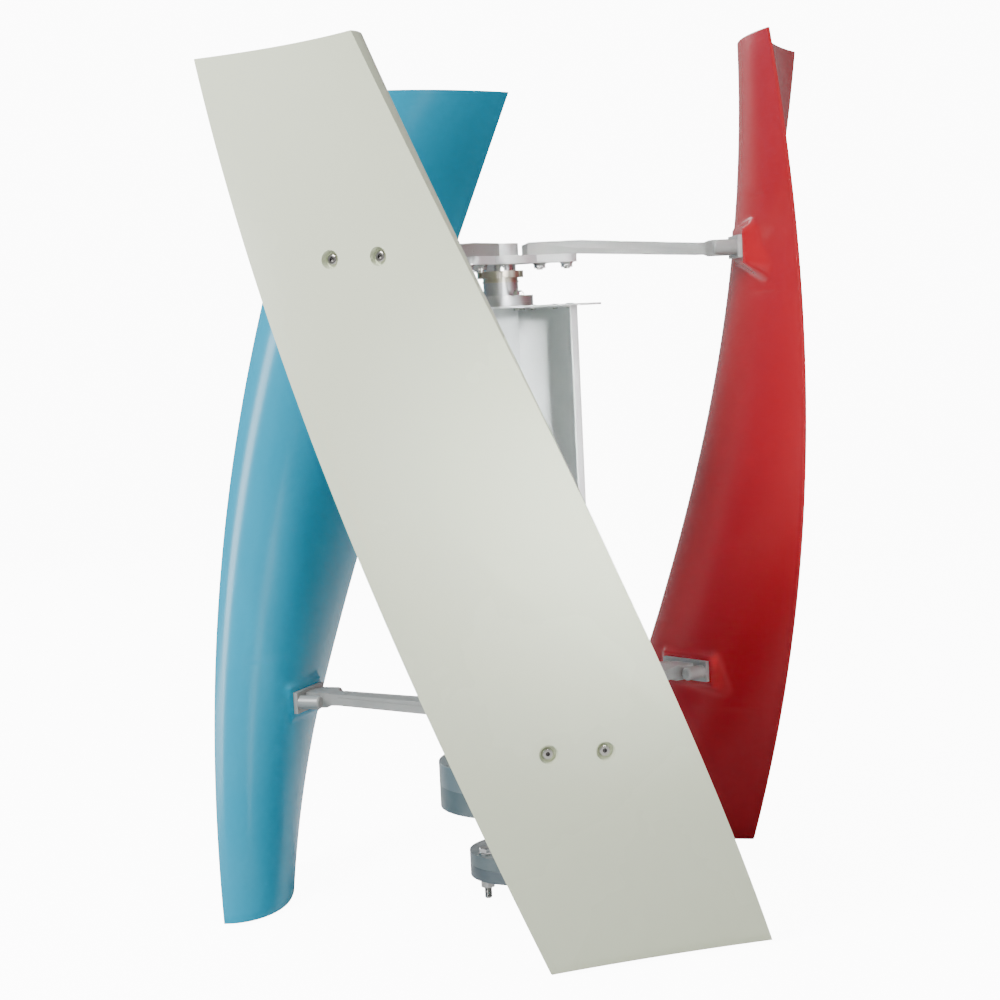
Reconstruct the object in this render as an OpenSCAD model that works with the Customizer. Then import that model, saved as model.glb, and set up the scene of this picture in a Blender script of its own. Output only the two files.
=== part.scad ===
// Vertical axis wind turbine: three slanted hollow blades on six cast arms, a two-scoop
// starting rotor round the shaft, and a flat disc generator on a bolted mast flange.
// The origin is the middle of the mast flange's lower face, and +Z is the axis of rotation.
// Azimuths are measured from the front (-Y) and grow towards the right (+X).

/* [Rotor] */
// Gap between the generator drum and the feet of the lower arms
arm_clear = 53; // [32:1:150]
// Radius of the blades' rounded leading edge at the top
rotor_r = 390; // [330:1:470]

/* [Blades] */
// Height of each blade
blade_h = 1050; // [760:10:1300]
// How far the thin trailing edge stands inside that radius at the top
te_in_top = 4; // [0:0.5:14]
// How far it stands inside at mid height
te_in_mid = 16.5; // [4:0.5:22]
// How far it stands inside at the foot
te_in_low = 16; // [4:0.5:22]
// How far the leading edge flares out at the foot
le_out_low = 3.5; // [0:0.5:8]
// Azimuth of the trailing edge of the front blade at the top
te_a_top = -63.5; // [-68:0.5:-58]
// Azimuth of the trailing edge at mid height
te_a_mid = -31.1; // [-34:0.1:-28]
// Azimuth of the trailing edge at the foot
te_a_low = 3.2; // [0:0.1:7]
// Azimuth of the leading edge at the top
le_a_top = -22.5; // [-26:0.5:-18]
// Azimuth of the leading edge at mid height
le_a_mid = 12; // [9:0.5:16]
// Azimuth of the leading edge at the foot
le_a_low = 45.1; // [41:0.1:49]
// Greatest thickness of the section at the top
sect_t_top = 43.8; // [34:0.2:54]
// Greatest thickness of the section at the foot
sect_t_low = 51.2; // [40:0.2:62]
// Hollow of the outer face at the top
dish_top = 15.4; // [0:0.2:18]
// Hollow of the outer face at the foot
dish_low = 5.2; // [0:0.2:12]
// Thickness of the trailing edge
te_edge = 3; // [2:0.5:5]

/* [Blade fixings] */
// Place of the upper fixing across the blade, as a share from its trailing edge
fix_pos_up = 0.488; // [0.44:0.002:0.54]
// Place of the lower fixing across the blade, as a share from its trailing edge
fix_pos_low = 0.536; // [0.44:0.002:0.56]
// Distance between the two bolts of a fixing
fix_pitch = 64; // [54:1:72]
// How far the flat pad on the blade is wider than the arm's end plate, each side
pad_over_w = 5; // [1:0.5:10]
// How far the flat pad is taller than the end plate, each side
pad_over_h = 7; // [1:0.5:10]
// How far the pad stands proud of the blade's inner face
pad_rise = 1; // [0.6:0.2:3]
// How far the pad's sides run outwards under the skin
pad_flare = 21; // [14:1:24]
// Diameter of the blade bolts
fix_bolt_d = 8; // [6:1:10]
// Wall of the metal sleeves in the blade
sleeve_wall = 3; // [2:0.5:4]
// Room round each bolt head in its recess
recess_gap = 4; // [1:0.5:5]
// Depth of that recess
recess_h = 8.5; // [6:0.5:11]

/* [Arms] */
// Width of the arm at the hub
arm_w_in = 38; // [34:1:44]
// Width of the arm at its outer end
arm_w_out = 28; // [24:1:32]
// Height of the arm at the hub
arm_h_in = 16; // [14:0.5:24]
// Height of the arm at its outer end
arm_h_out = 15; // [13:0.5:18]
// Gap between the arm's inner end and the spider's middle boss
foot_gap = 5; // [2:0.5:9]
// Distance of the first foot bolt from the arm's inner end
foot_bolt_in = 21; // [18:0.5:26]
// Distance between the two foot bolts
foot_pitch = 34; // [28:0.5:42]
// How far the arm falls from its foot to the blade fixing
arm_drop = 9.5; // [2:0.5:24]
// Diameter of the foot bolts
foot_bolt_d = 8; // [6:1:10]
// Width of the rim round the shallow panel under the arm
arm_rim = 4; // [3:0.5:7]
// Height of the end plate
end_h = 28; // [24:1:34]
// Thickness of the end plate
end_t = 6; // [5:0.5:9]
// Diameter of the screw bosses behind the end plate
boss_d = 18; // [16:0.5:22]
// Length of the screw bosses
boss_l = 30; // [26:1:36]

/* [Hub] */
// Diameter of the main shaft
shaft_d = 40; // [36:1:44]
// Thickness of the spider plate
spider_t = 10; // [8:0.5:14]
// How far the spider's lobes reach past the outer foot bolts
lobe_over = 13; // [11:0.5:20]
// Length of bare shaft between the lock nut and the spider
lock_gap = 8; // [2:0.5:30]
// Wall of the spider's middle boss
spider_wall = 4; // [3:0.5:8]
// Width of the notched lock nut's rim
lock_rim = 9; // [7:0.5:12]
// Thickness of the lock nut
lock_t = 8.5; // [7:0.5:11]
// Thickness of the tab washer and ring under the lock nut
tab_t = 6; // [4:0.5:8]
// Wall of the hub boss
hub_wall = 2; // [1.5:0.5:6]
// Height of the hub boss above its flange
hub_h = 16.5; // [12:0.5:20]
// Width of the hub flange round the boss
hub_flange_w = 18; // [16:0.5:26]
// Thickness of the hub flange
hub_flange_t = 13.5; // [10:0.5:16]

/* [Starting rotor] */
// How far the two end plates stand out past the scoops
disc_rim = 25; // [4:1:60]
// Thickness of the end plates
disc_t = 2.5; // [2:0.5:4]
// Distance between the end plates
scoop_h = 436; // [400:1:450]
// Outer radius of each half-round scoop
scoop_r = 61.8; // [50:0.2:80]
// Thickness of the scoop sheet
scoop_t = 1.6; // [1.2:0.2:3]
// Gap between the shaft and the scoops' inner edges
scoop_gap = 2; // [1:0.5:4]
// Azimuth of the first scoop's outer lip
scoop_a = 58; // [0:1:90]
// Width of the scoops' turned-in end flanges
scoop_rim = 12; // [10:0.5:16]

/* [Generator] */
// Outer diameter of the drum
drum_d = 216; // [190:1:260]
// Height of the drum
drum_h = 58; // [54:1:80]
// Height of the neck between the upper flange and the drum
neck_h = 60; // [52:1:90]
// Thickness of the drum's rim wall
drum_wall = 12; // [10:0.5:16]
// Thickness of the drum's floor and roof
drum_floor = 6; // [5:0.5:7]
// Wall of the neck round the lower bearing
neck_wall = 13; // [8:0.5:18]
// Wall of the turret round the upper bearing
turret_wall = 12; // [7:0.5:16]
// Number of coils in the stator
coils = 9; // [6:3:9]
// Number of magnets on each disc
magnets = 12; // [8:4:12]

/* [Mast flange] */
// Width of the flange rim outside the bolts' washers
flange_edge = 4.5; // [2:0.5:12]
// Thickness of each flange
flange_t = 16; // [12:1:20]
// Gap between the neck and the bolts' washers
washer_gap = 4.5; // [2:0.5:12]
// Diameter of the flange bolts
flange_bolt_d = 10; // [8:1:12]
// Number of flange bolts
flange_bolts_n = 4; // [3:1:6]
// Azimuth of the first flange bolt
flange_bolt_a = -62; // [-90:1:90]
// Diameter of the wiring hole through the flanges
wire_hole_d = 40; // [30:1:50]

/* [Hidden] */
$fn = 64;

blade_step = 120;
white_turn = 0;
red_turn = blade_step;
blue_turn = -blade_step;
turns = [white_turn, red_turn, blue_turn];
fit_gap = 0.05;
bolt_gap = 0.25;
cast_color = [0.77, 0.78, 0.77];
steel_color = [0.66, 0.67, 0.68];
alloy_color = [0.62, 0.66, 0.69];

// Diameters that follow the shaft
hub_d = shaft_d + 2 * hub_wall;
hub_flange_d = hub_d + 2 * hub_flange_w;
lock_d = shaft_d + 2 * lock_rim;
spider_boss_d = shaft_d + 2 * spider_wall;
scoop_off = scoop_r - scoop_t - shaft_d / 2 - scoop_gap;
disc_d = 2 * (scoop_off + scoop_r + disc_rim);

// Distances of the arm's foot from the axis
arm_in_r = spider_boss_d / 2 + foot_gap;
foot_bolt_r1 = arm_in_r + foot_bolt_in;
foot_bolt_r2 = foot_bolt_r1 + foot_pitch;
foot_r = foot_bolt_r2 + 16;
spider_r = foot_bolt_r2 + lobe_over;

// Heights above the rotor's middle, from the inside outwards; the lower half mirrors them.
disc_z = scoop_h / 2;
hub_z = disc_z + disc_t;
hub_top = hub_z + hub_flange_t + hub_h;
tab_z = hub_top;
lock_z = tab_z + tab_t;
spider_z = lock_z + lock_t + lock_gap;
foot_z = spider_z + spider_t;
shaft_end = foot_z + arm_h_in - 4;
fix_z = foot_z + arm_h_in / 2 - arm_drop;
drum_z = 2 * flange_t + neck_h;
drum_top = drum_z + drum_h;
mid_z = drum_top + arm_clear + foot_z + arm_h_in;

// Blade section: a dished outer face and a full, rounded inner face.
section_n = 12;
level_n = 22;
function mix3(top, mid, low, t) = mid + (low - top) / 2 * t + ((top + low) / 2 - mid) * t * t;
function te_r(t) = rotor_r - mix3(te_in_top, te_in_mid, te_in_low, t);
function le_r(t) = rotor_r + mix3(0, 0, le_out_low, t);
function te_a(t) = mix3(te_a_top, te_a_mid, te_a_low, t);
function le_a(t) = mix3(le_a_top, le_a_mid, le_a_low, t);
function at(r, a) = [r * sin(a), -r * cos(a)];
function te(t) = at(te_r(t), te_a(t));
function le(t) = at(le_r(t), le_a(t));
function inward(t) = let(e = (le(t) - te(t)) / norm(le(t) - te(t))) [-e[1], e[0]];
function dish(t) = mix3(dish_top, (dish_top + dish_low) / 2, dish_low, t);
function sect_t(t) = mix3(sect_t_top, (sect_t_top + sect_t_low) / 2, sect_t_low, t);
function full(u) = 10 * (0.2969 * sqrt(u) - 0.126 * u - 0.3516 * u ^ 2 + 0.2843 * u ^ 3
    - 0.1036 * u ^ 4);
function thick(t, c) = sect_t(t) * full(1 - c) + te_edge * (1 - c);
function outer_pt(t, c) = te(t) + (le(t) - te(t)) * c + inward(t) * dish(t) * 4 * c * (1 - c);
function inner_pt(t, c) = outer_pt(t, c) + inward(t) * thick(t, c);
function chord_pos(i) = (1 - cos(180 * i / section_n)) / 2;
function ring(t) = concat([for (i = [0:section_n]) outer_pt(t, chord_pos(i))],
    [for (i = [section_n - 1:-1:0]) inner_pt(t, chord_pos(i))]);

// Distance from the axis, along azimuth a, of the faces beside the point that lies off to the side.
fix_t = 2 * fix_z / blade_h;
fix_a_up = te_a(-fix_t) + fix_pos_up * (le_a(-fix_t) - te_a(-fix_t));
fix_a_low = te_a(fix_t) + fix_pos_low * (le_a(fix_t) - te_a(fix_t));
end_w = fix_pitch + boss_d;
pad_w = end_w + 2 * pad_over_w;
pad_h = end_h + 2 * pad_over_h;
function along(p, a) = p[0] * sin(a) - p[1] * cos(a);
function aside(p, a) = p[0] * cos(a) + p[1] * sin(a);
function pos_of(t, a, off) = (off - aside(te(t), a)) / (aside(le(t), a) - aside(te(t), a));
function outer_face(t, a, off) = along(outer_pt(t, pos_of(t, a, off)), a);
function inner_face(t, a, off) = outer_face(t, a, off) - thick(t, pos_of(t, a, off));
pad_r = min([for (off = [-pad_w / 2, 0, pad_w / 2]) min(inner_face(-fix_t, fix_a_up, off),
    inner_face(fix_t, fix_a_low, off))]) - pad_rise;
bolt_sides = [-fix_pitch / 2, fix_pitch / 2];
fix_head_d = 1.75 * fix_bolt_d;
fix_head_h = 0.6 * fix_bolt_d;
sleeve_d = fix_bolt_d + 2 * sleeve_wall;
recess_d = fix_head_d + 2 * recess_gap;
function fix_a(s) = s < 0 ? fix_a_up : fix_a_low;
function floor_r(s, side) = outer_face(s * fix_t, fix_a(s), side) - recess_h;
plate_r = pad_r - end_t;
low_floor = min([for (s = [-1, 1], side = bolt_sides) floor_r(s, side)]);
fix_bolt_l = 5 * floor((low_floor - plate_r + boss_l - 4) / 5);

// s is -1 for the upper half and 1 for the lower half, which is its mirror image.
module half(s) {
    translate([0, 0, mid_z]) mirror([0, 0, s > 0 ? 1 : 0]) children();
}

// Lays a cylinder along the arm's direction (azimuth 0, outwards) from radius r1 to r2.
module outward(r1, r2, d, side = 0, z = 0, fn = 48) {
    translate([side, -r1, z]) rotate([90, 0, 0]) cylinder(d = d, h = r2 - r1, $fn = fn);
}

// Blade
module blade_skin() {
    rings = [for (k = [0:level_n]) ring(1 - 2 * k / level_n)];
    n = 2 * section_n + 1;
    points = [for (k = [0:level_n], p = rings[k])
        [p[0], p[1], mid_z + blade_h * (k / level_n - 0.5)]];
    sides = [for (k = [0:level_n - 1], i = [0:n - 1]) let(j = (i + 1) % n, a = k * n, b = a + n)
        each [[a + i, b + i, b + j], [a + i, b + j, a + j]]];
    low_cap = [for (i = [0:n - 1]) i];
    top_cap = [for (i = [n - 1:-1:0]) level_n * n + i];
    polyhedron(points, concat(sides, [low_cap, top_cap]));
}

module pad(s) {
    half(s) rotate([0, 0, fix_a(s)]) translate([0, 0, fix_z]) hull() {
        translate([-pad_w / 2, -pad_r - 0.1, -pad_h / 2]) cube([pad_w, 0.1, pad_h]);
        translate([-pad_w / 2 - pad_flare, -pad_r - pad_flare, -pad_h / 2 - pad_flare])
            cube([pad_w + 2 * pad_flare, 0.1, pad_h + 2 * pad_flare]);
    }
}

module bolt_cuts(s) {
    half(s) rotate([0, 0, fix_a(s)]) translate([0, 0, fix_z])
        for (side = bolt_sides) {
            outward(pad_r - 5, floor_r(s, side) + 1, sleeve_d + 2 * fit_gap, side);
            outward(floor_r(s, side), rotor_r + 40, recess_d, side);
        }
}

module blade(turn) {
    rotate([0, 0, turn]) difference() {
        union() {
            blade_skin();
            pad(-1);
            pad(1);
        }
        bolt_cuts(-1);
        bolt_cuts(1);
    }
}

module blade_white() {
    color([0.87, 0.88, 0.84]) blade(white_turn);
}

module blade_red() {
    color([0.72, 0.12, 0.15]) blade(red_turn);
}

module blade_blue() {
    color([0.24, 0.62, 0.76]) blade(blue_turn);
}

module at_fixings(s) {
    for (turn = turns)
        half(s) rotate([0, 0, fix_a(s) + turn]) translate([0, 0, fix_z])
            children();
}

module blade_sleeves() {
    color(steel_color) for (s = [-1, 1]) at_fixings(s) for (side = bolt_sides)
        difference() {
            outward(pad_r, floor_r(s, side), sleeve_d, side);
            outward(pad_r - 1, floor_r(s, side) + 1, fix_bolt_d + 2 * bolt_gap, side);
        }
}

module blade_bolts(s) {
    color(steel_color) at_fixings(s) for (side = bolt_sides) {
        head = floor_r(s, side);
        difference() {
            union() {
                outward(head - fix_bolt_l, head, fix_bolt_d, side);
                outward(head, head + fix_head_h, fix_head_d, side);
            }
            outward(head + 0.4 * fix_head_h, head + fix_head_h + 1, 0.68 * fix_bolt_d, side, 0, 6);
        }
    }
}

module upper_blade_bolts() {
    blade_bolts(-1);
}

module lower_blade_bolts() {
    blade_bolts(1);
}

// Arm: a foot on the spider, a tapering beam, a flared collar and a T-shaped end
collar_r = plate_r - 46;
beam_h = arm_h_out + 5;
collar_w = arm_w_out + 6;
flare_r = plate_r - 36;
lip_h = 4;
head_cut_d = 1.9 * foot_bolt_d;
head_cut_h = 1.05 * foot_bolt_d;

// Outline of the arm seen from the side, drawn as distance from the axis and height.
module arm_side() {
    polygon([[arm_in_r, foot_z], [foot_r, foot_z],
        [collar_r, fix_z - arm_h_out / 2], [flare_r, fix_z - arm_h_out / 2],
        [flare_r + 6, fix_z - beam_h / 2], [plate_r - 8, fix_z - beam_h / 2],
        [plate_r - 8, fix_z + beam_h / 2], [flare_r + 6, fix_z + beam_h / 2],
        [flare_r, fix_z + arm_h_out / 2], [collar_r, fix_z + arm_h_out / 2],
        [foot_r, foot_z + arm_h_in], [arm_in_r + 8, foot_z + arm_h_in],
        [arm_in_r, foot_z + arm_h_in - 3]]);
}

module arm_plan() {
    polygon([[arm_in_r, -arm_w_in / 2 + 6], [arm_in_r + 6, -arm_w_in / 2],
        [foot_r, -arm_w_in / 2], [collar_r, -arm_w_out / 2], [flare_r, -arm_w_out / 2],
        [flare_r + 12, -collar_w / 2], [plate_r - 8, -collar_w / 2],
        [plate_r - 8, collar_w / 2], [flare_r + 12, collar_w / 2], [flare_r, arm_w_out / 2],
        [collar_r, arm_w_out / 2], [foot_r, arm_w_in / 2],
        [arm_in_r + 6, arm_w_in / 2], [arm_in_r, arm_w_in / 2 - 6]]);
}

// Shallow panel in the arm's underside, inside a narrow rim
panel_h = 0.8;

module panel_side() {
    polygon([[foot_r + 6, foot_z - 10], [collar_r - 6, fix_z - arm_h_out / 2 - 10],
        [collar_r - 6, fix_z - arm_h_out / 2 + panel_h], [foot_r + 6, foot_z + panel_h]]);
}

module panel_plan() {
    polygon([[foot_r + 6, -arm_w_in / 2 + arm_rim], [collar_r - 6, -arm_w_out / 2 + arm_rim],
        [collar_r - 6, arm_w_out / 2 - arm_rim], [foot_r + 6, arm_w_in / 2 - arm_rim]]);
}

// Shallow recess along each flank, which leaves a rim along the arm's lower edge.
module flank_side() {
    polygon([[foot_r, foot_z + lip_h + 1.2], [collar_r, fix_z - arm_h_out / 2 + lip_h],
        [collar_r, fix_z - arm_h_out / 2 + lip_h + 1.2], [foot_r, foot_z + lip_h + 2.4]]);
}

module from_side(w) {
    rotate([90, 0, -90]) translate([0, 0, -w / 2]) linear_extrude(w) children();
}

module from_above(z1, z2) {
    translate([0, 0, z1]) linear_extrude(z2 - z1) rotate([0, 0, -90]) children();
}

module arm_body() {
    difference() {
        intersection() {
            from_side(arm_w_in + 2) arm_side();
            from_above(fix_z - end_h, foot_z + arm_h_in + 1) arm_plan();
        }
        intersection() {
            from_side(arm_w_in) panel_side();
            from_above(fix_z - end_h, foot_z + arm_h_in) panel_plan();
        }
        for (side = [-1, 1]) intersection() {
            from_side(arm_w_in + 4) flank_side();
            from_above(fix_z - end_h, foot_z + arm_h_in)
                polygon([[foot_r, side * (arm_w_in / 2 - 0.8)],
                    [collar_r, side * (arm_w_out / 2 - 0.8)],
                    [collar_r, side * (arm_w_out / 2 + 2)], [foot_r, side * (arm_w_in / 2 + 2)]]);
        }
    }
}

// A screw boss with a rounded inner end
module boss() {
    round_r = boss_d / 4;
    rotate_extrude($fn = 48) {
        square([boss_d / 2 - round_r, boss_l]);
        translate([0, round_r]) square([boss_d / 2, boss_l - round_r]);
        translate([boss_d / 2 - round_r, round_r]) circle(r = round_r, $fn = 48);
    }
}

side_web = (fix_pitch - collar_w) / 2 - boss_d / 2 + 4;

module arm_end() {
    translate([-end_w / 2, -pad_r, fix_z - end_h / 2]) cube([end_w, end_t, end_h]);
    translate([-collar_w / 2, -plate_r, fix_z - beam_h / 2]) cube([collar_w, 8, beam_h]);
    for (side = bolt_sides) translate([side, -plate_r + boss_l, fix_z]) rotate([90, 0, 0]) boss();
    for (side = bolt_sides)
        translate([side > 0 ? collar_w / 2 - 1 : -side_web - collar_w / 2 + 1,
            -plate_r, fix_z - 5]) cube([side_web, 12, 10]);
}

module arm(s, turn) {
    color(cast_color) half(s) rotate([0, 0, fix_a(s) + turn]) difference() {
        union() {
            arm_body();
            arm_end();
        }
        for (r = [foot_bolt_r1, foot_bolt_r2]) translate([0, -r, 0]) {
            translate([0, 0, foot_z - 1])
                cylinder(d = foot_bolt_d + 2 * bolt_gap, h = arm_h_in + 2, $fn = 48);
            translate([0, 0, foot_z + arm_h_in - head_cut_h])
                cylinder(d = head_cut_d, h = head_cut_h + 1, $fn = 48);
        }
        for (side = bolt_sides) {
            outward(plate_r - boss_l + 2, pad_r + 1, fix_bolt_d + 2 * fit_gap, side, fix_z);
            outward(plate_r, pad_r + 1, fix_bolt_d + 2 * bolt_gap, side, fix_z);
        }
    }
}

module upper_arm_white() {
    arm(-1, white_turn);
}

module upper_arm_red() {
    arm(-1, red_turn);
}

module upper_arm_blue() {
    arm(-1, blue_turn);
}

module lower_arm_white() {
    arm(1, white_turn);
}

module lower_arm_red() {
    arm(1, red_turn);
}

module lower_arm_blue() {
    arm(1, blue_turn);
}

module at_feet(s) {
    for (turn = turns, r = [foot_bolt_r1, foot_bolt_r2])
        half(s) rotate([0, 0, fix_a(s) + turn]) translate([0, -r, 0])
            children();
}

foot_nut_h = 0.8 * foot_bolt_d;
foot_head_z = foot_z + arm_h_in - head_cut_h;

module arm_bolts(s) {
    color(steel_color) at_feet(s) difference() {
        union() {
            translate([0, 0, spider_z - foot_nut_h - 2])
                cylinder(d = foot_bolt_d, h = foot_head_z - spider_z + foot_nut_h + 3, $fn = 32);
            translate([0, 0, foot_head_z]) cylinder(d = 1.6 * foot_bolt_d, h = foot_bolt_d, $fn = 32);
        }
        translate([0, 0, foot_head_z + foot_bolt_d / 2])
            cylinder(d = 0.86 * foot_bolt_d, h = foot_bolt_d, $fn = 6);
    }
}

module upper_arm_bolts() {
    arm_bolts(-1);
}

module lower_arm_bolts() {
    arm_bolts(1);
}

module arm_nuts(s) {
    color(steel_color) at_feet(s) difference() {
        union() {
            translate([0, 0, spider_z - foot_nut_h])
                cylinder(d = 1.84 * foot_bolt_d, h = foot_nut_h, $fn = 6);
            translate([0, 0, spider_z - 2]) cylinder(d = 2.25 * foot_bolt_d, h = 2, $fn = 48);
        }
        translate([0, 0, spider_z - foot_nut_h - 1])
            cylinder(d = foot_bolt_d + 2 * fit_gap, h = foot_nut_h + 2, $fn = 32);
    }
}

module upper_arm_nuts() {
    arm_nuts(-1);
}

module lower_arm_nuts() {
    arm_nuts(1);
}

// Spider: a three-lobed plate with a middle boss that is clamped on the shaft
grub_z = foot_z + arm_h_in / 2;
grub_d = 8;
grub_turn = red_turn + blade_step / 2;

module spider(s) {
    color(cast_color) half(s) rotate([0, 0, fix_a(s)]) difference() {
        union() {
            translate([0, 0, spider_z]) cylinder(r = foot_bolt_r1, h = spider_t);
            for (turn = turns) rotate([0, 0, turn]) {
                translate([-arm_w_in / 2, -spider_r + arm_w_in / 2, spider_z])
                    cube([arm_w_in, spider_r - arm_w_in / 2, spider_t]);
                translate([0, -spider_r + arm_w_in / 2, spider_z])
                    cylinder(d = arm_w_in, h = spider_t);
            }
            translate([0, 0, spider_z]) cylinder(d = spider_boss_d, h = spider_t + arm_h_in);
        }
        translate([0, 0, spider_z - 1])
            cylinder(d = shaft_d + 2 * fit_gap, h = spider_t + arm_h_in + 2);
        for (turn = turns) rotate([0, 0, turn]) for (r = [foot_bolt_r1, foot_bolt_r2])
            translate([0, -r, spider_z - 1])
                cylinder(d = foot_bolt_d + 2 * bolt_gap, h = spider_t + 2, $fn = 48);
        rotate([0, 0, grub_turn])
            outward(shaft_d / 2 - 1, spider_boss_d / 2 + 1, grub_d + 2 * fit_gap, 0, grub_z);
    }
}

module upper_spider() {
    spider(-1);
}

module lower_spider() {
    spider(1);
}

module grub_screws() {
    color(steel_color) for (s = [-1, 1])
        half(s) rotate([0, 0, fix_a(s) + grub_turn]) difference() {
            outward(shaft_d / 2 + fit_gap, spider_boss_d / 2 - 0.3, grub_d, 0, grub_z);
            outward(spider_boss_d / 2 - 1.6, spider_boss_d / 2, grub_d / 2, 0, grub_z, 6);
        }
}

// Lock nut with six notches, its tab washer, and the flanged hub that carries the end plate
notches = 6;
notch_w = 7;
notch_h = 3;

module lock_nut(s) {
    color([0.74, 0.71, 0.60]) half(s) difference() {
        translate([0, 0, lock_z]) cylinder(d = lock_d, h = lock_t);
        translate([0, 0, lock_z - 1]) cylinder(d = shaft_d + 2 * fit_gap, h = lock_t + 2);
        for (i = [0:notches - 1]) rotate([0, 0, i * 360 / notches])
            translate([-notch_w / 2, lock_d / 2 - notch_h, lock_z - 1])
                cube([notch_w, 2 * notch_h, lock_t + 2]);
    }
}

module upper_lock_nut() {
    lock_nut(-1);
}

module lower_lock_nut() {
    lock_nut(1);
}

tab_lip = 2;
module tab_washers() {
    color([0.70, 0.70, 0.66]) for (s = [-1, 1]) half(s) difference() {
        union() {
            translate([0, 0, tab_z]) cylinder(d = hub_d + tab_lip, h = 2);
            translate([0, 0, tab_z + 2]) cylinder(d = hub_d, h = tab_t - 2);
        }
        translate([0, 0, tab_z - 1]) cylinder(d = shaft_d + 2 * fit_gap, h = tab_t + 2);
    }
}

hub_screws_n = 4;
hub_screw_d = 5;
hub_screw_r = (hub_d + hub_flange_d) / 4;
hub_screw_a = scoop_a + 70;
hub_nut_h = 0.8 * hub_screw_d;

module at_hub_screws() {
    for (i = [0:hub_screws_n - 1]) rotate([0, 0, hub_screw_a + i * 360 / hub_screws_n])
        translate([0, -hub_screw_r, 0]) children();
}

module hub(s) {
    color(alloy_color) half(s) difference() {
        union() {
            translate([0, 0, hub_z]) cylinder(d = hub_flange_d, h = hub_flange_t);
            translate([0, 0, hub_z]) cylinder(d = hub_d, h = hub_flange_t + hub_h);
        }
        translate([0, 0, hub_z - 1]) cylinder(d = shaft_d + 2 * fit_gap, h = 60);
        at_hub_screws() translate([0, 0, hub_z - 1])
            cylinder(d = hub_screw_d + 2 * bolt_gap, h = hub_flange_t + 2, $fn = 32);
    }
}

module upper_hub() {
    hub(-1);
}

module lower_hub() {
    hub(1);
}

module hub_screws() {
    tip_z = hub_z + hub_flange_t + hub_nut_h + 2.5;
    color(steel_color) for (s = [-1, 1]) half(s) at_hub_screws() difference() {
        union() {
            translate([0, 0, disc_z - 3]) cylinder(d = 1.8 * hub_screw_d, h = 3, $fn = 32);
            translate([0, 0, disc_z - 1])
                cylinder(d = hub_screw_d, h = tip_z - disc_z + 1, $fn = 32);
        }
        translate([0, 0, disc_z - 4]) cylinder(d = 0.7 * hub_screw_d, h = 3, $fn = 6);
    }
}

module hub_nuts() {
    color(steel_color) for (s = [-1, 1]) half(s) at_hub_screws() difference() {
        translate([0, 0, hub_z + hub_flange_t])
            cylinder(d = 1.8 * hub_screw_d, h = hub_nut_h, $fn = 6);
        translate([0, 0, hub_z]) cylinder(d = hub_screw_d + 2 * fit_gap, h = 30, $fn = 32);
    }
}

// Snap rings on the shaft, just inside the end plates
ring_t = 2;
ring_r = shaft_d / 2 + scoop_gap - 0.5;

module ring_slot(r) {
    for (s = [-1, 1]) half(s) translate([0, 0, disc_z - ring_t]) cylinder(r = r, h = ring_t);
}

module shaft_rings() {
    color(steel_color) difference() {
        ring_slot(ring_r);
        translate([0, 0, mid_z - disc_z - 1]) cylinder(r = shaft_d / 2 - 1, h = scoop_h + 2);
    }
}

// Starting rotor: two half-round scoops between round end plates
rivets_n = 4;
rivet_d = 4;

module scoop_plate(s) {
    color([0.80, 0.82, 0.83]) half(s) difference() {
        translate([0, 0, disc_z]) cylinder(d = disc_d, h = disc_t, $fn = 96);
        translate([0, 0, disc_z - 1]) cylinder(d = shaft_d + 2 * fit_gap, h = disc_t + 2);
        at_hub_screws() translate([0, 0, disc_z - 1])
            cylinder(d = hub_screw_d + 2 * bolt_gap, h = disc_t + 2, $fn = 32);
        at_rivets(disc_z - 1) cylinder(d = rivet_d + 2 * fit_gap, h = disc_t + 2, $fn = 24);
    }
}

// The rivet places of both scoops at height z
module at_rivets(z) {
    for (lip = [scoop_a, scoop_a + 180], i = [0:rivets_n - 1])
        rotate([0, 0, lip]) translate([0, -scoop_off, z])
            rotate([0, 0, -72 + i * 32])
                translate([scoop_r - scoop_rim / 2 - 1, 0, 0]) children();
}

module upper_scoop_plate() {
    scoop_plate(-1);
}

module lower_scoop_plate() {
    scoop_plate(1);
}

module scoop(lip) {
    color([0.83, 0.86, 0.87]) difference() {
        rotate([0, 0, lip]) translate([0, -scoop_off, mid_z - disc_z]) rotate([0, 0, -90]) {
            rotate_extrude(angle = 180, $fn = 96) {
                translate([scoop_r - scoop_t, 0]) square([scoop_t, scoop_h]);
                translate([scoop_r - scoop_rim, 0]) square([scoop_rim, scoop_t]);
                translate([scoop_r - scoop_rim, scoop_h - scoop_t]) square([scoop_rim, scoop_t]);
            }
        }
        translate([0, 0, mid_z - disc_z - 1])
            cylinder(r = shaft_d / 2 + scoop_gap - 0.2, h = scoop_h + 2);
        for (s = [-1, 1]) half(s) at_rivets(disc_z - scoop_t - 1)
            cylinder(d = rivet_d + 2 * fit_gap, h = scoop_t + 2, $fn = 24);
    }
}

module front_scoop() {
    scoop(scoop_a);
}

module rear_scoop() {
    scoop(scoop_a + 180);
}

module scoop_rivets() {
    color(steel_color) for (s = [-1, 1]) half(s) at_rivets(0) {
        translate([0, 0, disc_z - scoop_t - 0.5])
            cylinder(d = rivet_d, h = scoop_t + disc_t + 1, $fn = 24);
        translate([0, 0, disc_z + disc_t]) cylinder(d = 2 * rivet_d, h = 1.2, $fn = 24);
        translate([0, 0, disc_z - scoop_t - 1.2]) cylinder(d = 1.7 * rivet_d, h = 1.2, $fn = 24);
    }
}

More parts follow.
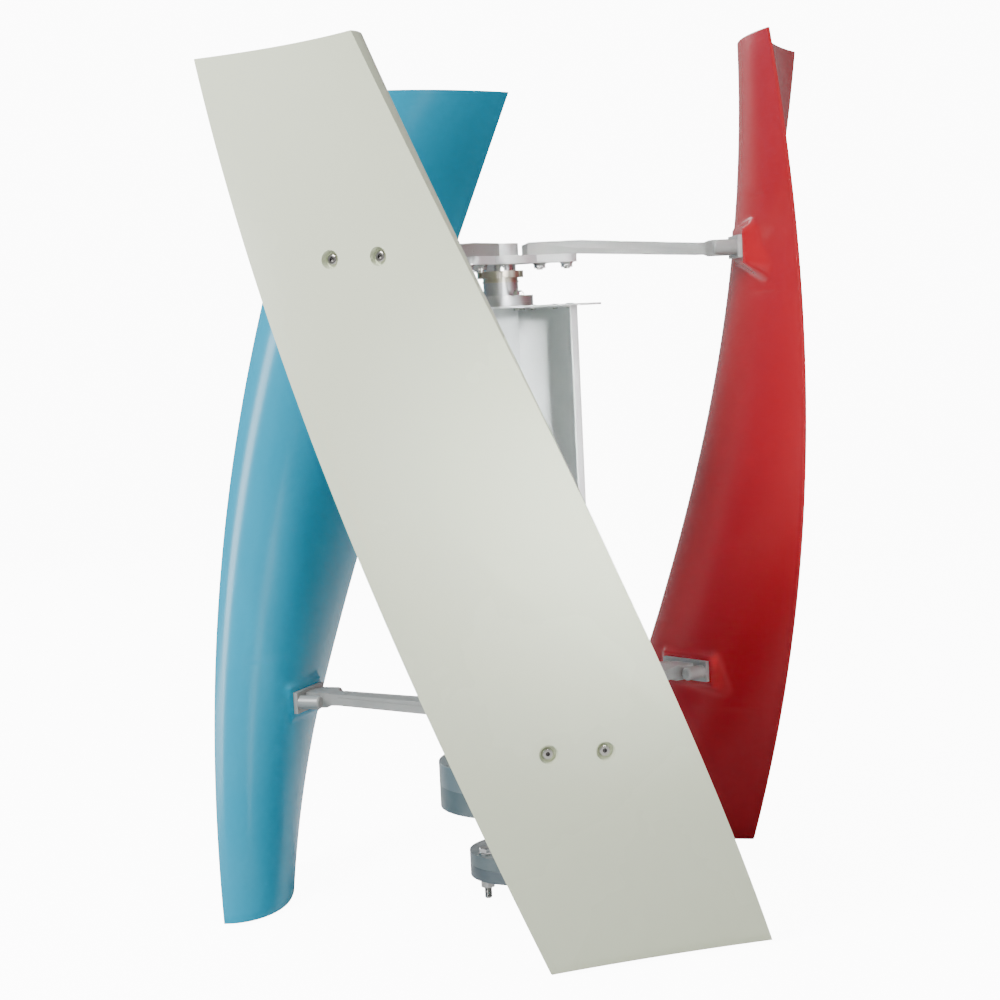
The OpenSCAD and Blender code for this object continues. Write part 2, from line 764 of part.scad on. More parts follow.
// Shaft and generator, as heights above the mast face
disc_shaft_d = shaft_d - 5;
end_shaft_d = shaft_d - 10;
split_z = drum_z + drum_h / 2;
rotor_gap = 3;
iron_t = 6;
magnet_t = 5;
air_gap = 1.6;
iron_low_z = drum_z + drum_floor + rotor_gap;
iron_top_z = drum_top - drum_floor - rotor_gap - iron_t;
stator_z = iron_low_z + iron_t + magnet_t + air_gap;
stator_t = iron_top_z - magnet_t - air_gap - stator_z;
pack_r = drum_d / 2 - drum_wall;
iron_r = pack_r - 3;
magnet_d = 0.3 * iron_r;
magnet_r = 0.765 * iron_r;
coil_d = 0.43 * iron_r;
coil_in_d = 0.17 * iron_r;
spacer_d = 60;
nut_d = 52;
nut_t = 8;
// Bearings as bore, outside diameter, width and ball diameter.
up_bore = shaft_d;
up_od = shaft_d + 28;
up_w = 15;
up_z = drum_top + 1;
turret_d = up_od + 2 * turret_wall;
low_bore = end_shaft_d;
low_od = end_shaft_d + 32;
low_w = 16;
low_z = iron_low_z - nut_t - 3 - low_w;
neck_d = low_od + 2 * neck_wall;

module shaft() {
    color(steel_color) difference() {
        union() {
            translate([0, 0, up_z]) cylinder(d = shaft_d, h = mid_z + shaft_end - up_z);
            translate([0, 0, low_z + low_w])
                cylinder(d = disc_shaft_d, h = up_z - low_z - low_w);
            translate([0, 0, low_z - 4]) cylinder(d = end_shaft_d, h = low_w + 5);
            translate([0, 0, iron_top_z + iron_t])
                cylinder(d = shaft_d + 6, h = up_z - iron_top_z - iron_t);
        }
        translate([0, 0, mid_z + shaft_end - 24]) cylinder(d = 10, h = 25, $fn = 32);
        difference() {
            ring_slot(shaft_d / 2 + 1);
            translate([0, 0, mid_z - disc_z - 1]) cylinder(r = shaft_d / 2 - 1, h = scoop_h + 2);
        }
    }
}

ball_k = 0.3;
function ball_d(bore, od) = ball_k * (od - bore);
function pitch_r(bore, od) = (bore + od) / 4;
race_gap = 0.25;

module race_groove(bore, od, z, w) {
    translate([0, 0, z + w / 2]) rotate_extrude($fn = 96) translate([pitch_r(bore, od), 0])
        circle(d = ball_d(bore, od) + 2 * race_gap, $fn = 48);
}

module outer_ring(bore, od, z, w) {
    color(steel_color) difference() {
        translate([0, 0, z]) cylinder(d = od, h = w, $fn = 96);
        translate([0, 0, z - 1])
            cylinder(r = pitch_r(bore, od) + 0.3 * ball_d(bore, od), h = w + 2, $fn = 96);
        race_groove(bore, od, z, w);
    }
}

module inner_ring(bore, od, z, w) {
    color(steel_color) difference() {
        translate([0, 0, z])
            cylinder(r = pitch_r(bore, od) - 0.3 * ball_d(bore, od), h = w, $fn = 96);
        translate([0, 0, z - 1]) cylinder(d = bore + 2 * 0.01, h = w + 2, $fn = 96);
        race_groove(bore, od, z, w);
    }
}

balls_n = 10;
module balls(bore, od, z, w) {
    color([0.75, 0.76, 0.77]) for (i = [0:balls_n - 1]) rotate([0, 0, i * 360 / balls_n])
        translate([pitch_r(bore, od), 0, z + w / 2]) sphere(d = ball_d(bore, od), $fn = 32);
}

// Crown cage: a base ring under the balls with a post between each two of them.
module cage(bore, od, z, w) {
    b = ball_d(bore, od);
    base_z = z + w / 2 - b / 2 - 1.7;
    color([0.80, 0.74, 0.55]) difference() {
        translate([0, 0, base_z]) cylinder(r = pitch_r(bore, od) + 0.2 * b, h = b, $fn = 96);
        translate([0, 0, base_z - 1])
            cylinder(r = pitch_r(bore, od) - 0.2 * b, h = b + 2, $fn = 96);
        for (i = [0:balls_n - 1]) rotate([0, 0, i * 360 / balls_n])
            translate([pitch_r(bore, od), 0, base_z + 1.4])
                cylinder(d = b + 0.5, h = b, $fn = 32);
    }
}

module upper_bearing_outer_ring() {
    outer_ring(up_bore, up_od, up_z, up_w);
}

module upper_bearing_inner_ring() {
    inner_ring(up_bore, up_od, up_z, up_w);
}

module upper_bearing_balls() {
    balls(up_bore, up_od, up_z, up_w);
}

module upper_bearing_cage() {
    cage(up_bore, up_od, up_z, up_w);
}

module lower_bearing_outer_ring() {
    outer_ring(low_bore, low_od, low_z, low_w);
}

module lower_bearing_inner_ring() {
    inner_ring(low_bore, low_od, low_z, low_w);
}

module lower_bearing_balls() {
    balls(low_bore, low_od, low_z, low_w);
}

module lower_bearing_cage() {
    cage(low_bore, low_od, low_z, low_w);
}

seal_h = 6;
seal_z = up_z + up_w + 0.5;
turret_top = seal_z + seal_h + 2.5;
seat_gap = 0.01;

module shaft_seal() {
    color([0.12, 0.12, 0.12]) difference() {
        translate([0, 0, seal_z]) cylinder(d = up_od, h = seal_h, $fn = 96);
        translate([0, 0, seal_z - 1]) cylinder(d = shaft_d + 0.6, h = seal_h + 2, $fn = 96);
    }
}

// Magnet discs
module magnet_disc(z) {
    color([0.45, 0.46, 0.48]) difference() {
        translate([0, 0, z]) cylinder(r = iron_r, h = iron_t, $fn = 96);
        translate([0, 0, z - 1]) cylinder(d = disc_shaft_d + 2 * seat_gap, h = iron_t + 2, $fn = 96);
    }
}

module lower_magnet_disc() {
    magnet_disc(iron_low_z);
}

module upper_magnet_disc() {
    magnet_disc(iron_top_z);
}

module magnet_set(z) {
    color([0.70, 0.71, 0.73]) for (i = [0:magnets - 1]) rotate([0, 0, i * 360 / magnets])
        translate([magnet_r, 0, z]) cylinder(d = magnet_d, h = magnet_t, $fn = 48);
}

module lower_magnets() {
    magnet_set(iron_low_z + iron_t);
}

module upper_magnets() {
    magnet_set(iron_top_z - magnet_t);
}

module disc_spacer() {
    color(steel_color) translate([0, 0, iron_low_z + iron_t]) difference() {
        cylinder(d = spacer_d, h = iron_top_z - iron_low_z - iron_t);
        translate([0, 0, -1]) cylinder(d = disc_shaft_d + 2 * seat_gap, h = drum_h);
    }
}

module disc_nut() {
    color(steel_color) difference() {
        translate([0, 0, iron_low_z - nut_t]) cylinder(d = nut_d, h = nut_t);
        translate([0, 0, iron_low_z - nut_t - 1])
            cylinder(d = disc_shaft_d + 2 * fit_gap, h = nut_t + 2);
        for (i = [0:3]) rotate([0, 0, i * 90])
            translate([-3, nut_d / 2 - 2.5, iron_low_z - nut_t - 1]) cube([6, 6, nut_t + 2]);
    }
}

// Stator: a moulded disc clamped between the drum halves, with the coils in its pockets
clamp_in = drum_wall / 4;
clamp_t = min(6, stator_t);
stator_in_r = spacer_d / 2 + 3;

module stator() {
    color([0.35, 0.30, 0.22]) difference() {
        union() {
            translate([0, 0, stator_z]) cylinder(r = pack_r - 0.3, h = stator_t, $fn = 96);
            translate([0, 0, split_z - clamp_t / 2])
                cylinder(r = pack_r + clamp_in - 0.3, h = clamp_t, $fn = 96);
        }
        translate([0, 0, stator_z - 1]) cylinder(r = stator_in_r, h = stator_t + 2, $fn = 96);
        for (i = [0:coils - 1]) rotate([0, 0, i * 360 / coils])
            translate([magnet_r, 0, stator_z - 1])
                cylinder(d = coil_d + 0.4, h = stator_t + 2, $fn = 48);
    }
}

module stator_coils() {
    color([0.72, 0.40, 0.20]) for (i = [0:coils - 1]) rotate([0, 0, i * 360 / coils])
        translate([magnet_r, 0, stator_z]) difference() {
            cylinder(d = coil_d, h = stator_t, $fn = 48);
            translate([0, 0, -1]) cylinder(d = coil_in_d, h = stator_t + 2, $fn = 32);
        }
}

// Generator housing: a base casting with neck and flange, and a cover with the bearing turret
screws_n = 8;
screw_d = 4;
screw_head_d = 7;
screw_head_h = 4;
screw_r = drum_d / 2 - (drum_wall - clamp_in) / 2 - 0.9;
duct_d = 8;
duct_r = (low_od + neck_d) / 4;
duct_z = low_z - 22;

module clamp_rebate() {
    translate([0, 0, split_z - clamp_t / 2]) cylinder(r = pack_r + clamp_in, h = clamp_t, $fn = 96);
}

module at_screws() {
    for (i = [0:screws_n - 1]) rotate([0, 0, (i + 0.5) * 360 / screws_n])
        translate([screw_r, 0, 0]) children();
}

module at_bolts() {
    for (i = [0:flange_bolts_n - 1])
        rotate([0, 0, flange_bolt_a + i * 360 / flange_bolts_n])
            translate([0, -bolt_r, 0]) children();
}

module generator_base() {
    color(alloy_color) difference() {
        union() {
            translate([0, 0, flange_t]) cylinder(d = flange_d, h = flange_t, $fn = 96);
            translate([0, 0, flange_t]) cylinder(d = neck_d, h = drum_z + 1 - flange_t, $fn = 96);
            translate([0, 0, drum_z]) cylinder(d = drum_d, h = drum_h / 2, $fn = 128);
        }
        translate([0, 0, drum_z + drum_floor]) cylinder(r = pack_r, h = drum_h, $fn = 128);
        clamp_rebate();
        translate([0, 0, low_z]) cylinder(d = low_od + 2 * seat_gap, h = drum_h, $fn = 96);
        translate([0, 0, flange_t - 1]) cylinder(d = wire_hole_d, h = drum_z, $fn = 96);
        at_screws() translate([0, 0, split_z - 14])
            cylinder(d = screw_d + 2 * fit_gap, h = 20, $fn = 32);
        translate([0, -duct_r, duct_z]) cylinder(d = duct_d, h = drum_h, $fn = 32);
        outward(0, duct_r, duct_d, 0, duct_z);
        at_bolts() translate([0, 0, flange_t - 1])
            cylinder(d = flange_bolt_d + 1, h = flange_t + 2, $fn = 48);
    }
}

module generator_cover() {
    color([0.66, 0.70, 0.73]) difference() {
        union() {
            translate([0, 0, split_z]) cylinder(d = drum_d, h = drum_h / 2 - 0.8, $fn = 128);
            translate([0, 0, drum_top - 0.8])
                cylinder(d1 = drum_d, d2 = drum_d - 1.6, h = 0.8, $fn = 128);
            translate([0, 0, drum_top - 1])
                cylinder(d = turret_d, h = turret_top - drum_top + 1, $fn = 96);
        }
        translate([0, 0, split_z - 1])
            cylinder(r = pack_r, h = drum_h / 2 - drum_floor + 1, $fn = 128);
        clamp_rebate();
        translate([0, 0, up_z]) cylinder(d = up_od + 2 * seat_gap, h = drum_h, $fn = 96);
        translate([0, 0, split_z]) cylinder(d = shaft_d + 12, h = drum_h, $fn = 96);
        at_screws() {
            translate([0, 0, split_z - 1])
                cylinder(d = screw_d + 2 * fit_gap, h = drum_h, $fn = 32);
            translate([0, 0, drum_top - screw_head_h - 0.4])
                cylinder(d = screw_head_d + 0.6, h = drum_h, $fn = 32);
        }
    }
}

module cover_screws() {
    head_z = drum_top - screw_head_h - 0.4;
    color([0.24, 0.24, 0.25]) at_screws() difference() {
        union() {
            translate([0, 0, split_z - 13])
                cylinder(d = screw_d, h = head_z - split_z + 14, $fn = 32);
            translate([0, 0, head_z]) cylinder(d = screw_head_d, h = screw_head_h, $fn = 32);
        }
        translate([0, 0, head_z + screw_head_h / 2])
            cylinder(d = 0.86 * screw_d, h = screw_head_h, $fn = 6);
    }
}

module wiring_grommet() {
    color([0.12, 0.12, 0.12]) difference() {
        cylinder(d = wire_hole_d - 0.2, h = 2 * flange_t, $fn = 96);
        translate([0, 0, -1]) cylinder(d = wire_hole_d - 10, h = 2 * flange_t + 2, $fn = 96);
    }
}

// Mast flange with its bolts, washers and nuts
washer_t = 2;
washer_d = 2.1 * flange_bolt_d;
head_af = 1.7 * flange_bolt_d;
head_h = 0.64 * flange_bolt_d;
nut_h = 0.84 * flange_bolt_d;
bolt_tail = 25;
bolt_r = neck_d / 2 + washer_gap + washer_d / 2;
flange_d = 2 * (bolt_r + washer_d / 2 + flange_edge);

module hex(af, h) {
    cylinder(d = af / cos(30), h = h, $fn = 6);
}

module mast_flange() {
    color([0.50, 0.56, 0.60]) difference() {
        cylinder(d = flange_d, h = flange_t, $fn = 96);
        translate([0, 0, -1]) cylinder(d = wire_hole_d, h = flange_t + 2, $fn = 96);
        at_bolts() translate([0, 0, -1]) cylinder(d = flange_bolt_d + 1, h = flange_t + 2, $fn = 48);
    }
}

module flange_bolts() {
    color(steel_color) at_bolts() {
        translate([0, 0, -bolt_tail])
            cylinder(d = flange_bolt_d, h = bolt_tail + 2 * flange_t + washer_t + 1, $fn = 48);
        translate([0, 0, 2 * flange_t + washer_t]) hex(head_af, head_h);
    }
}

module flange_washers() {
    color(steel_color) at_bolts() for (z = [-washer_t, 2 * flange_t]) translate([0, 0, z])
        difference() {
            cylinder(d = washer_d, h = washer_t, $fn = 48);
            translate([0, 0, -1]) cylinder(d = flange_bolt_d + 0.6, h = washer_t + 2, $fn = 48);
        }
}

module flange_nuts() {
    color(steel_color) at_bolts() translate([0, 0, -washer_t - nut_h]) difference() {
        hex(head_af, nut_h);
        translate([0, 0, -1]) cylinder(d = flange_bolt_d + 2 * fit_gap, h = nut_h + 2, $fn = 48);
    }
}

mast_flange();
flange_bolts();
flange_washers();
flange_nuts();
generator_base();
generator_cover();
cover_screws();
stator();
stator_coils();
upper_bearing_outer_ring();
upper_bearing_inner_ring();
upper_bearing_balls();
upper_bearing_cage();
lower_bearing_outer_ring();
lower_bearing_inner_ring();
lower_bearing_balls();
lower_bearing_cage();
shaft_seal();
wiring_grommet();
shaft();
lower_magnet_disc();
upper_magnet_disc();
lower_magnets();
upper_magnets();
disc_spacer();
disc_nut();
lower_hub();
upper_hub();
hub_screws();
hub_nuts();
shaft_rings();
tab_washers();
lower_lock_nut();
upper_lock_nut();
lower_spider();
upper_spider();
grub_screws();
lower_scoop_plate();
upper_scoop_plate();
front_scoop();
rear_scoop();
scoop_rivets();
upper_arm_white();
upper_arm_red();
upper_arm_blue();
lower_arm_white();
lower_arm_red();
lower_arm_blue();
blade_white();
blade_red();
blade_blue();
blade_sleeves();
upper_arm_bolts();
upper_arm_nuts();
lower_arm_bolts();
lower_arm_nuts();
upper_blade_bolts();
lower_blade_bolts();
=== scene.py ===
import math

import bmesh
import bpy
from mathutils import Matrix, Vector


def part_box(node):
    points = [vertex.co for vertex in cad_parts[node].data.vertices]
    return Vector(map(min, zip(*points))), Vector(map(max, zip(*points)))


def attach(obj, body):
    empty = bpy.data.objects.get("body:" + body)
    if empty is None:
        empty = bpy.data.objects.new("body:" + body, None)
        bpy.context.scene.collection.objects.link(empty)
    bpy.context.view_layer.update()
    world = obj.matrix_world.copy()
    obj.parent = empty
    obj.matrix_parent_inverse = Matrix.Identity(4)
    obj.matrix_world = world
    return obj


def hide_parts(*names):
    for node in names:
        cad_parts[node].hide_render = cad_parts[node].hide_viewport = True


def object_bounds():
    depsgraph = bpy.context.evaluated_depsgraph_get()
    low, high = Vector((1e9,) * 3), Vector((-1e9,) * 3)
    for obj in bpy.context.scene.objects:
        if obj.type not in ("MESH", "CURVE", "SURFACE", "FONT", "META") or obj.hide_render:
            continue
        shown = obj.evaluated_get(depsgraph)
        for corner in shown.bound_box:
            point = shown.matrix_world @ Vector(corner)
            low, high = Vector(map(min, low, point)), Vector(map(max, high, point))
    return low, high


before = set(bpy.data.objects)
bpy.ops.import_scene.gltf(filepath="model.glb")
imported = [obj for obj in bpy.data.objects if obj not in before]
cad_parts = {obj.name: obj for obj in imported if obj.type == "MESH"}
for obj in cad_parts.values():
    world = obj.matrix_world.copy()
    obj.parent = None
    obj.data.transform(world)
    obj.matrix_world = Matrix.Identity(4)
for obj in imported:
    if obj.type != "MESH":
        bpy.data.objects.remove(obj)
cad_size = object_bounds()

# The studio: a pale floor that sweeps up into a wall all round, large soft boxes, and the camera
# at the height of the rotor, held very slightly off level.
sweep = bmesh.new()
profile = [sweep.verts.new((x, 0, z)) for x, z in
           [(0, 0), (2, 0), (4, 0), (5.2, 0)]
           + [(5.2 + 1.6 * math.sin(a), 1.6 - 1.6 * math.cos(a))
              for a in [math.radians(7.5 * k) for k in range(1, 13)]]
           + [(6.8, 3.5), (6.8, 6)]]
for low, high in zip(profile, profile[1:]):
    sweep.edges.new((low, high))
bmesh.ops.spin(sweep, geom=sweep.verts[:] + sweep.edges[:], axis=(0, 0, 1), cent=(0, 0, 0),
               angle=math.tau, steps=96, use_merge=True)
bmesh.ops.remove_doubles(sweep, verts=sweep.verts, dist=1e-5)
bmesh.ops.recalc_face_normals(sweep, faces=sweep.faces)
floor_mesh = bpy.data.meshes.new("studio_floor")
sweep.to_mesh(floor_mesh)
floor_mesh.shade_smooth()
floor = bpy.data.objects.new("studio_floor", floor_mesh)
floor.location.z = cad_size[0][2] - 0.002
bpy.context.collection.objects.link(floor)
paper = bpy.data.materials.new("pale_paper")
paper.use_nodes = True
paper_shader = paper.node_tree.nodes["Principled BSDF"]
paper_shader.inputs["Base Color"].default_value = (0.82, 0.82, 0.82, 1)
paper_shader.inputs["Roughness"].default_value = 0.9
paper_shader.inputs["Specular IOR Level"].default_value = 0.1
paper_shader.inputs["Emission Color"].default_value = (1, 1, 1, 1)
glow = paper.node_tree.nodes.new("ShaderNodeLightPath")
lit = paper.node_tree.nodes.new("ShaderNodeMath")
lit.operation = "MULTIPLY"
lit.inputs[1].default_value = 11.0
paper.node_tree.links.new(glow.outputs["Is Camera Ray"], lit.inputs[0])
paper.node_tree.links.new(lit.outputs[0], paper_shader.inputs["Emission Strength"])
floor_mesh.materials.append(paper)

world = bpy.data.worlds.new("studio_air")
world.use_nodes = True
world.node_tree.nodes["Background"].inputs["Color"].default_value = (1, 1, 1, 1)
world.node_tree.nodes["Background"].inputs["Strength"].default_value = 0.15
bpy.context.scene.world = world


def soft_box(name, place, aim, width, height, watts):
    lamp = bpy.data.lights.new(name, "AREA")
    lamp.shape = "RECTANGLE"
    lamp.size = width
    lamp.size_y = height
    lamp.energy = watts
    holder = bpy.data.objects.new(name, lamp)
    bpy.context.collection.objects.link(holder)
    holder.location = place
    holder.rotation_mode = "QUATERNION"
    holder.rotation_quaternion = (Vector(aim) - Vector(place)).to_track_quat("-Z", "Y")
    return holder


soft_box("left_soft_box", (-1.7, -1.9, 2.3), (0, 0, 0.80), 1.0, 1.3, 128)
soft_box("right_soft_box", (2.6, -1.7, 1.5), (0.1, 0, 0.55), 0.7, 1.8, 20)
soft_box("top_soft_box", (0, 0.6, 4.2), (0, 0, 0.5), 2.4, 2.4, 62)
soft_box("rear_soft_box", (-2.2, 3.4, 2.2), (0, 0, 0.6), 1.2, 2.4, 60)
scoop_light = soft_box("scoop_soft_box", (0.95, -2.6, 1.00), (0.07, 0, 0.50), 0.25, 0.3, 1.5)
scoop_light.data.spread = math.radians(14)

camera = bpy.data.objects.new("camera", bpy.data.cameras.new("camera"))
camera.data.lens = 78.517
camera.data.sensor_width = 36
camera.data.clip_end = 60
turn, dip, tilt = -0.0050, 0.0847, 0.0478
flat_right = Vector((math.cos(turn), -math.sin(turn), 0))
flat_ahead = Vector((math.sin(turn), math.cos(turn), 0))
ahead = math.cos(dip) * flat_ahead - math.sin(dip) * Vector((0, 0, 1))
upward = math.sin(dip) * flat_ahead + math.cos(dip) * Vector((0, 0, 1))
cam_x = math.cos(tilt) * flat_right - math.sin(tilt) * upward
cam_y = math.sin(tilt) * flat_right + math.cos(tilt) * upward
camera.matrix_world = Matrix.Translation((0, -2.75157, 0.71295)) @ Matrix((
    (cam_x.x, cam_y.x, -ahead.x, 0), (cam_x.y, cam_y.y, -ahead.y, 0),
    (cam_x.z, cam_y.z, -ahead.z, 0), (0, 0, 0, 1)))
bpy.context.collection.objects.link(camera)
bpy.context.scene.camera = camera

# Mast flange: a turned steel disc with four bolt holes, welded to the top of the mast tube.
# The concentric tool marks come from its material.


def shader_group(name, inputs, outputs):
    tree = bpy.data.node_groups.new(name, "ShaderNodeTree")
    for socket, kind, value in inputs:
        made = tree.interface.new_socket(socket, in_out="INPUT", socket_type=kind)
        made.default_value = value
    for socket, kind in outputs:
        tree.interface.new_socket(socket, in_out="OUTPUT", socket_type=kind)
    return tree, tree.nodes.new("NodeGroupInput"), tree.nodes.new("NodeGroupOutput")


def wire(tree, pairs):
    for source, target in pairs:
        tree.links.new(source, target)


def math_node(tree, kind, *values):
    node = tree.nodes.new("ShaderNodeMath")
    node.operation = kind
    for socket, value in zip(node.inputs, values):
        if isinstance(value, (int, float)):
            socket.default_value = value
        else:
            tree.links.new(value, socket)
    return node.outputs[0]


# Grain: fine mottling for a cast, blasted or moulded surface, as a height and a tone.
grain_group, grain_in, grain_out = shader_group(
    "surface_grain",
    [("Vector", "NodeSocketVector", (0, 0, 0)), ("Fine", "NodeSocketFloat", 900),
     ("Broad", "NodeSocketFloat", 18)],
    [("Height", "NodeSocketFloat"), ("Tone", "NodeSocketFloat")])
fine = grain_group.nodes.new("ShaderNodeTexNoise")
fine.inputs["Detail"].default_value = 3
broad = grain_group.nodes.new("ShaderNodeTexNoise")
broad.inputs["Detail"].default_value = 4
wire(grain_group, [
    (grain_in.outputs["Vector"], fine.inputs["Vector"]),
    (grain_in.outputs["Fine"], fine.inputs["Scale"]),
    (grain_in.outputs["Vector"], broad.inputs["Vector"]),
    (grain_in.outputs["Broad"], broad.inputs["Scale"]),
    (fine.outputs["Fac"], grain_out.inputs["Height"]),
    (broad.outputs["Fac"], grain_out.inputs["Tone"])])

# Wear: bright edges where paint or plating has rubbed, from how sharply the surface turns.
wear_group, wear_in, wear_out = shader_group(
    "edge_wear",
    [("Vector", "NodeSocketVector", (0, 0, 0)), ("Amount", "NodeSocketFloat", 0.5)],
    [("Mask", "NodeSocketFloat")])
bend = wear_group.nodes.new("ShaderNodeNewGeometry")
patchy = wear_group.nodes.new("ShaderNodeTexNoise")
patchy.inputs["Scale"].default_value = 60
sharp_edge = math_node(wear_group, "SUBTRACT", bend.outputs["Pointiness"], 0.52)
sharp_edge = math_node(wear_group, "MULTIPLY", sharp_edge, 14)
broken = math_node(wear_group, "MULTIPLY", sharp_edge, patchy.outputs["Fac"])
wear_mask = math_node(wear_group, "MULTIPLY", broken, wear_in.outputs["Amount"])
held = wear_group.nodes.new("ShaderNodeClamp")
wire(wear_group, [(wear_in.outputs["Vector"], patchy.inputs["Vector"]),
                  (wear_mask, held.inputs["Value"]),
                  (held.outputs["Result"], wear_out.inputs["Mask"])])

# Dust: a thin pale film on faces that look up, thicker in patches.
dust_group, dust_in, dust_out = shader_group(
    "resting_dust",
    [("Vector", "NodeSocketVector", (0, 0, 0)), ("Amount", "NodeSocketFloat", 0.2)],
    [("Mask", "NodeSocketFloat")])
facing = dust_group.nodes.new("ShaderNodeNewGeometry")
split = dust_group.nodes.new("ShaderNodeSeparateXYZ")
clouds = dust_group.nodes.new("ShaderNodeTexNoise")
clouds.inputs["Scale"].default_value = 12
up_face = math_node(dust_group, "MAXIMUM", split.outputs["Z"], 0)
film = math_node(dust_group, "MULTIPLY", up_face, clouds.outputs["Fac"])
film = math_node(dust_group, "MULTIPLY", film, dust_in.outputs["Amount"])
wire(dust_group, [(facing.outputs["Normal"], split.inputs["Vector"]),
                  (dust_in.outputs["Vector"], clouds.inputs["Vector"]),
                  (film, dust_out.inputs["Mask"])])


def metal_finish(name, colour, rough, metallic=1.0, marks=None, bump=0.00002, fine=900,
                 worn=0.4, worn_colour=(0.75, 0.76, 0.77), dusty=0.12, coat=0.0):
    """A metal or painted-metal finish; marks is None, "turned" for rings round Z, or "drawn"."""
    finish = bpy.data.materials.new(name)
    finish.use_nodes = True
    tree = finish.node_tree
    shader = tree.nodes["Principled BSDF"]
    place = tree.nodes.new("ShaderNodeTexCoord")
    grain = tree.nodes.new("ShaderNodeGroup")
    grain.node_tree = grain_group
    grain.inputs["Fine"].default_value = fine
    wear = tree.nodes.new("ShaderNodeGroup")
    wear.node_tree = wear_group
    wear.inputs["Amount"].default_value = worn
    dust = tree.nodes.new("ShaderNodeGroup")
    dust.node_tree = dust_group
    dust.inputs["Amount"].default_value = dusty
    tone = tree.nodes.new("ShaderNodeMix")
    tone.data_type = "RGBA"
    tone.inputs["A"].default_value = (*[c * 0.86 for c in colour], 1)
    tone.inputs["B"].default_value = (*[min(1, c * 1.10) for c in colour], 1)
    rubbed = tree.nodes.new("ShaderNodeMix")
    rubbed.data_type = "RGBA"
    rubbed.inputs["B"].default_value = (*worn_colour, 1)
    dusted = tree.nodes.new("ShaderNodeMix")
    dusted.data_type = "RGBA"
    dusted.inputs["B"].default_value = (0.62, 0.61, 0.58, 1)
    rough_low = math_node(tree, "MULTIPLY", grain.outputs["Tone"], 0.16)
    rough_all = math_node(tree, "ADD", rough_low, rough - 0.08)
    bumps = tree.nodes.new("ShaderNodeBump")
    bumps.inputs["Distance"].default_value = 1.0
    height = math_node(tree, "MULTIPLY", grain.outputs["Height"], bump)
    if marks:
        rings = tree.nodes.new("ShaderNodeTexWave")
        rings.wave_type = "RINGS" if marks == "turned" else "BANDS"
        rings.rings_direction = "Z"
        rings.bands_direction = "Z"
        rings.inputs["Scale"].default_value = 320
        rings.inputs["Distortion"].default_value = 1.2
        rings.inputs["Detail"].default_value = 2
        tree.links.new(place.outputs["Object"], rings.inputs["Vector"])
        cut = math_node(tree, "MULTIPLY", rings.outputs["Fac"], 0.00003)
        height = math_node(tree, "ADD", height, cut)
    wire(tree, [
        (place.outputs["Object"], grain.inputs["Vector"]),
        (place.outputs["Object"], wear.inputs["Vector"]),
        (place.outputs["Object"], dust.inputs["Vector"]),
        (grain.outputs["Tone"], tone.inputs["Factor"]),
        (tone.outputs["Result"], rubbed.inputs["A"]),
        (wear.outputs["Mask"], rubbed.inputs["Factor"]),
        (rubbed.outputs["Result"], dusted.inputs["A"]),
        (dust.outputs["Mask"], dusted.inputs["Factor"]),
        (dusted.outputs["Result"], shader.inputs["Base Color"]),
        (rough_all, shader.inputs["Roughness"]),
        (height, bumps.inputs["Height"]),
        (bumps.outputs["Normal"], shader.inputs["Normal"])])
    shader.inputs["Metallic"].default_value = metallic
    shader.inputs["Coat Weight"].default_value = coat
    return finish


def softened(node, width, finish, body, angle=30, segments=3):
    """A copy of a casting or turned piece with its facets joined and its edges rounded."""
    bm = bmesh.new()
    bm.from_mesh(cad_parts[node].data)
    bmesh.ops.remove_doubles(bm, verts=bm.verts, dist=2e-6)
    bmesh.ops.dissolve_limit(bm, angle_limit=math.radians(0.5), verts=bm.verts, edges=bm.edges)
    mesh = bpy.data.meshes.new(node + "_soft")
    bm.to_mesh(mesh)
    bm.free()
    mesh.materials.clear()
    mesh.materials.append(finish)
    mesh.shade_smooth()
    mesh.set_sharp_from_angle(angle=math.radians(angle))
    piece = bpy.data.objects.new(node + "_soft", mesh)
    bpy.context.collection.objects.link(piece)
    rounding = piece.modifiers.new("rounded_edges", "BEVEL")
    rounding.width = width
    rounding.segments = segments
    rounding.limit_method = "ANGLE"
    rounding.angle_limit = math.radians(angle)
    rounding.harden_normals = True
    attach(piece, body)
    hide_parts(node)
    return piece


def refinish(finish, *nodes):
    for node in nodes:
        for held_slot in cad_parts[node].material_slots:
            held_slot.material = finish


turned_steel = metal_finish("turned_steel", (0.17, 0.205, 0.23), 0.42, marks="turned", worn=0.5)
softened("mast_flange", 0.0012, turned_steel, "base")

# Generator base: an aluminium casting with the bolting flange, the neck round the lower bearing
# and the lower half of the drum. It is painted blue-grey.
drum_paint = metal_finish("drum_paint", (0.115, 0.155, 0.17), 0.36, metallic=0.35, worn=0.7,
                          fine=1400, dusty=0.14)
softened("generator_base", 0.0010, drum_paint, "base")

# Generator cover: the upper half of the drum with the turret round the upper bearing.
# Its top is machined bare, and eight sunk screws hold it to the base.
cover_alloy = metal_finish("cover_alloy", (0.22, 0.27, 0.29), 0.34, metallic=0.45, worn=0.6)
softened("generator_cover", 0.0008, cover_alloy, "base")

# Flange bolts: four stainless hex bolts with washers and nuts, whose threaded ends stand out below.
# The heads and nuts have the usual turned chamfer, and the thread is cut nearly to the flange.
FLANGE_BOLT_R = 0.005
FLANGE_HEAD_R = 0.0170 / 2 / math.cos(math.pi / 6)


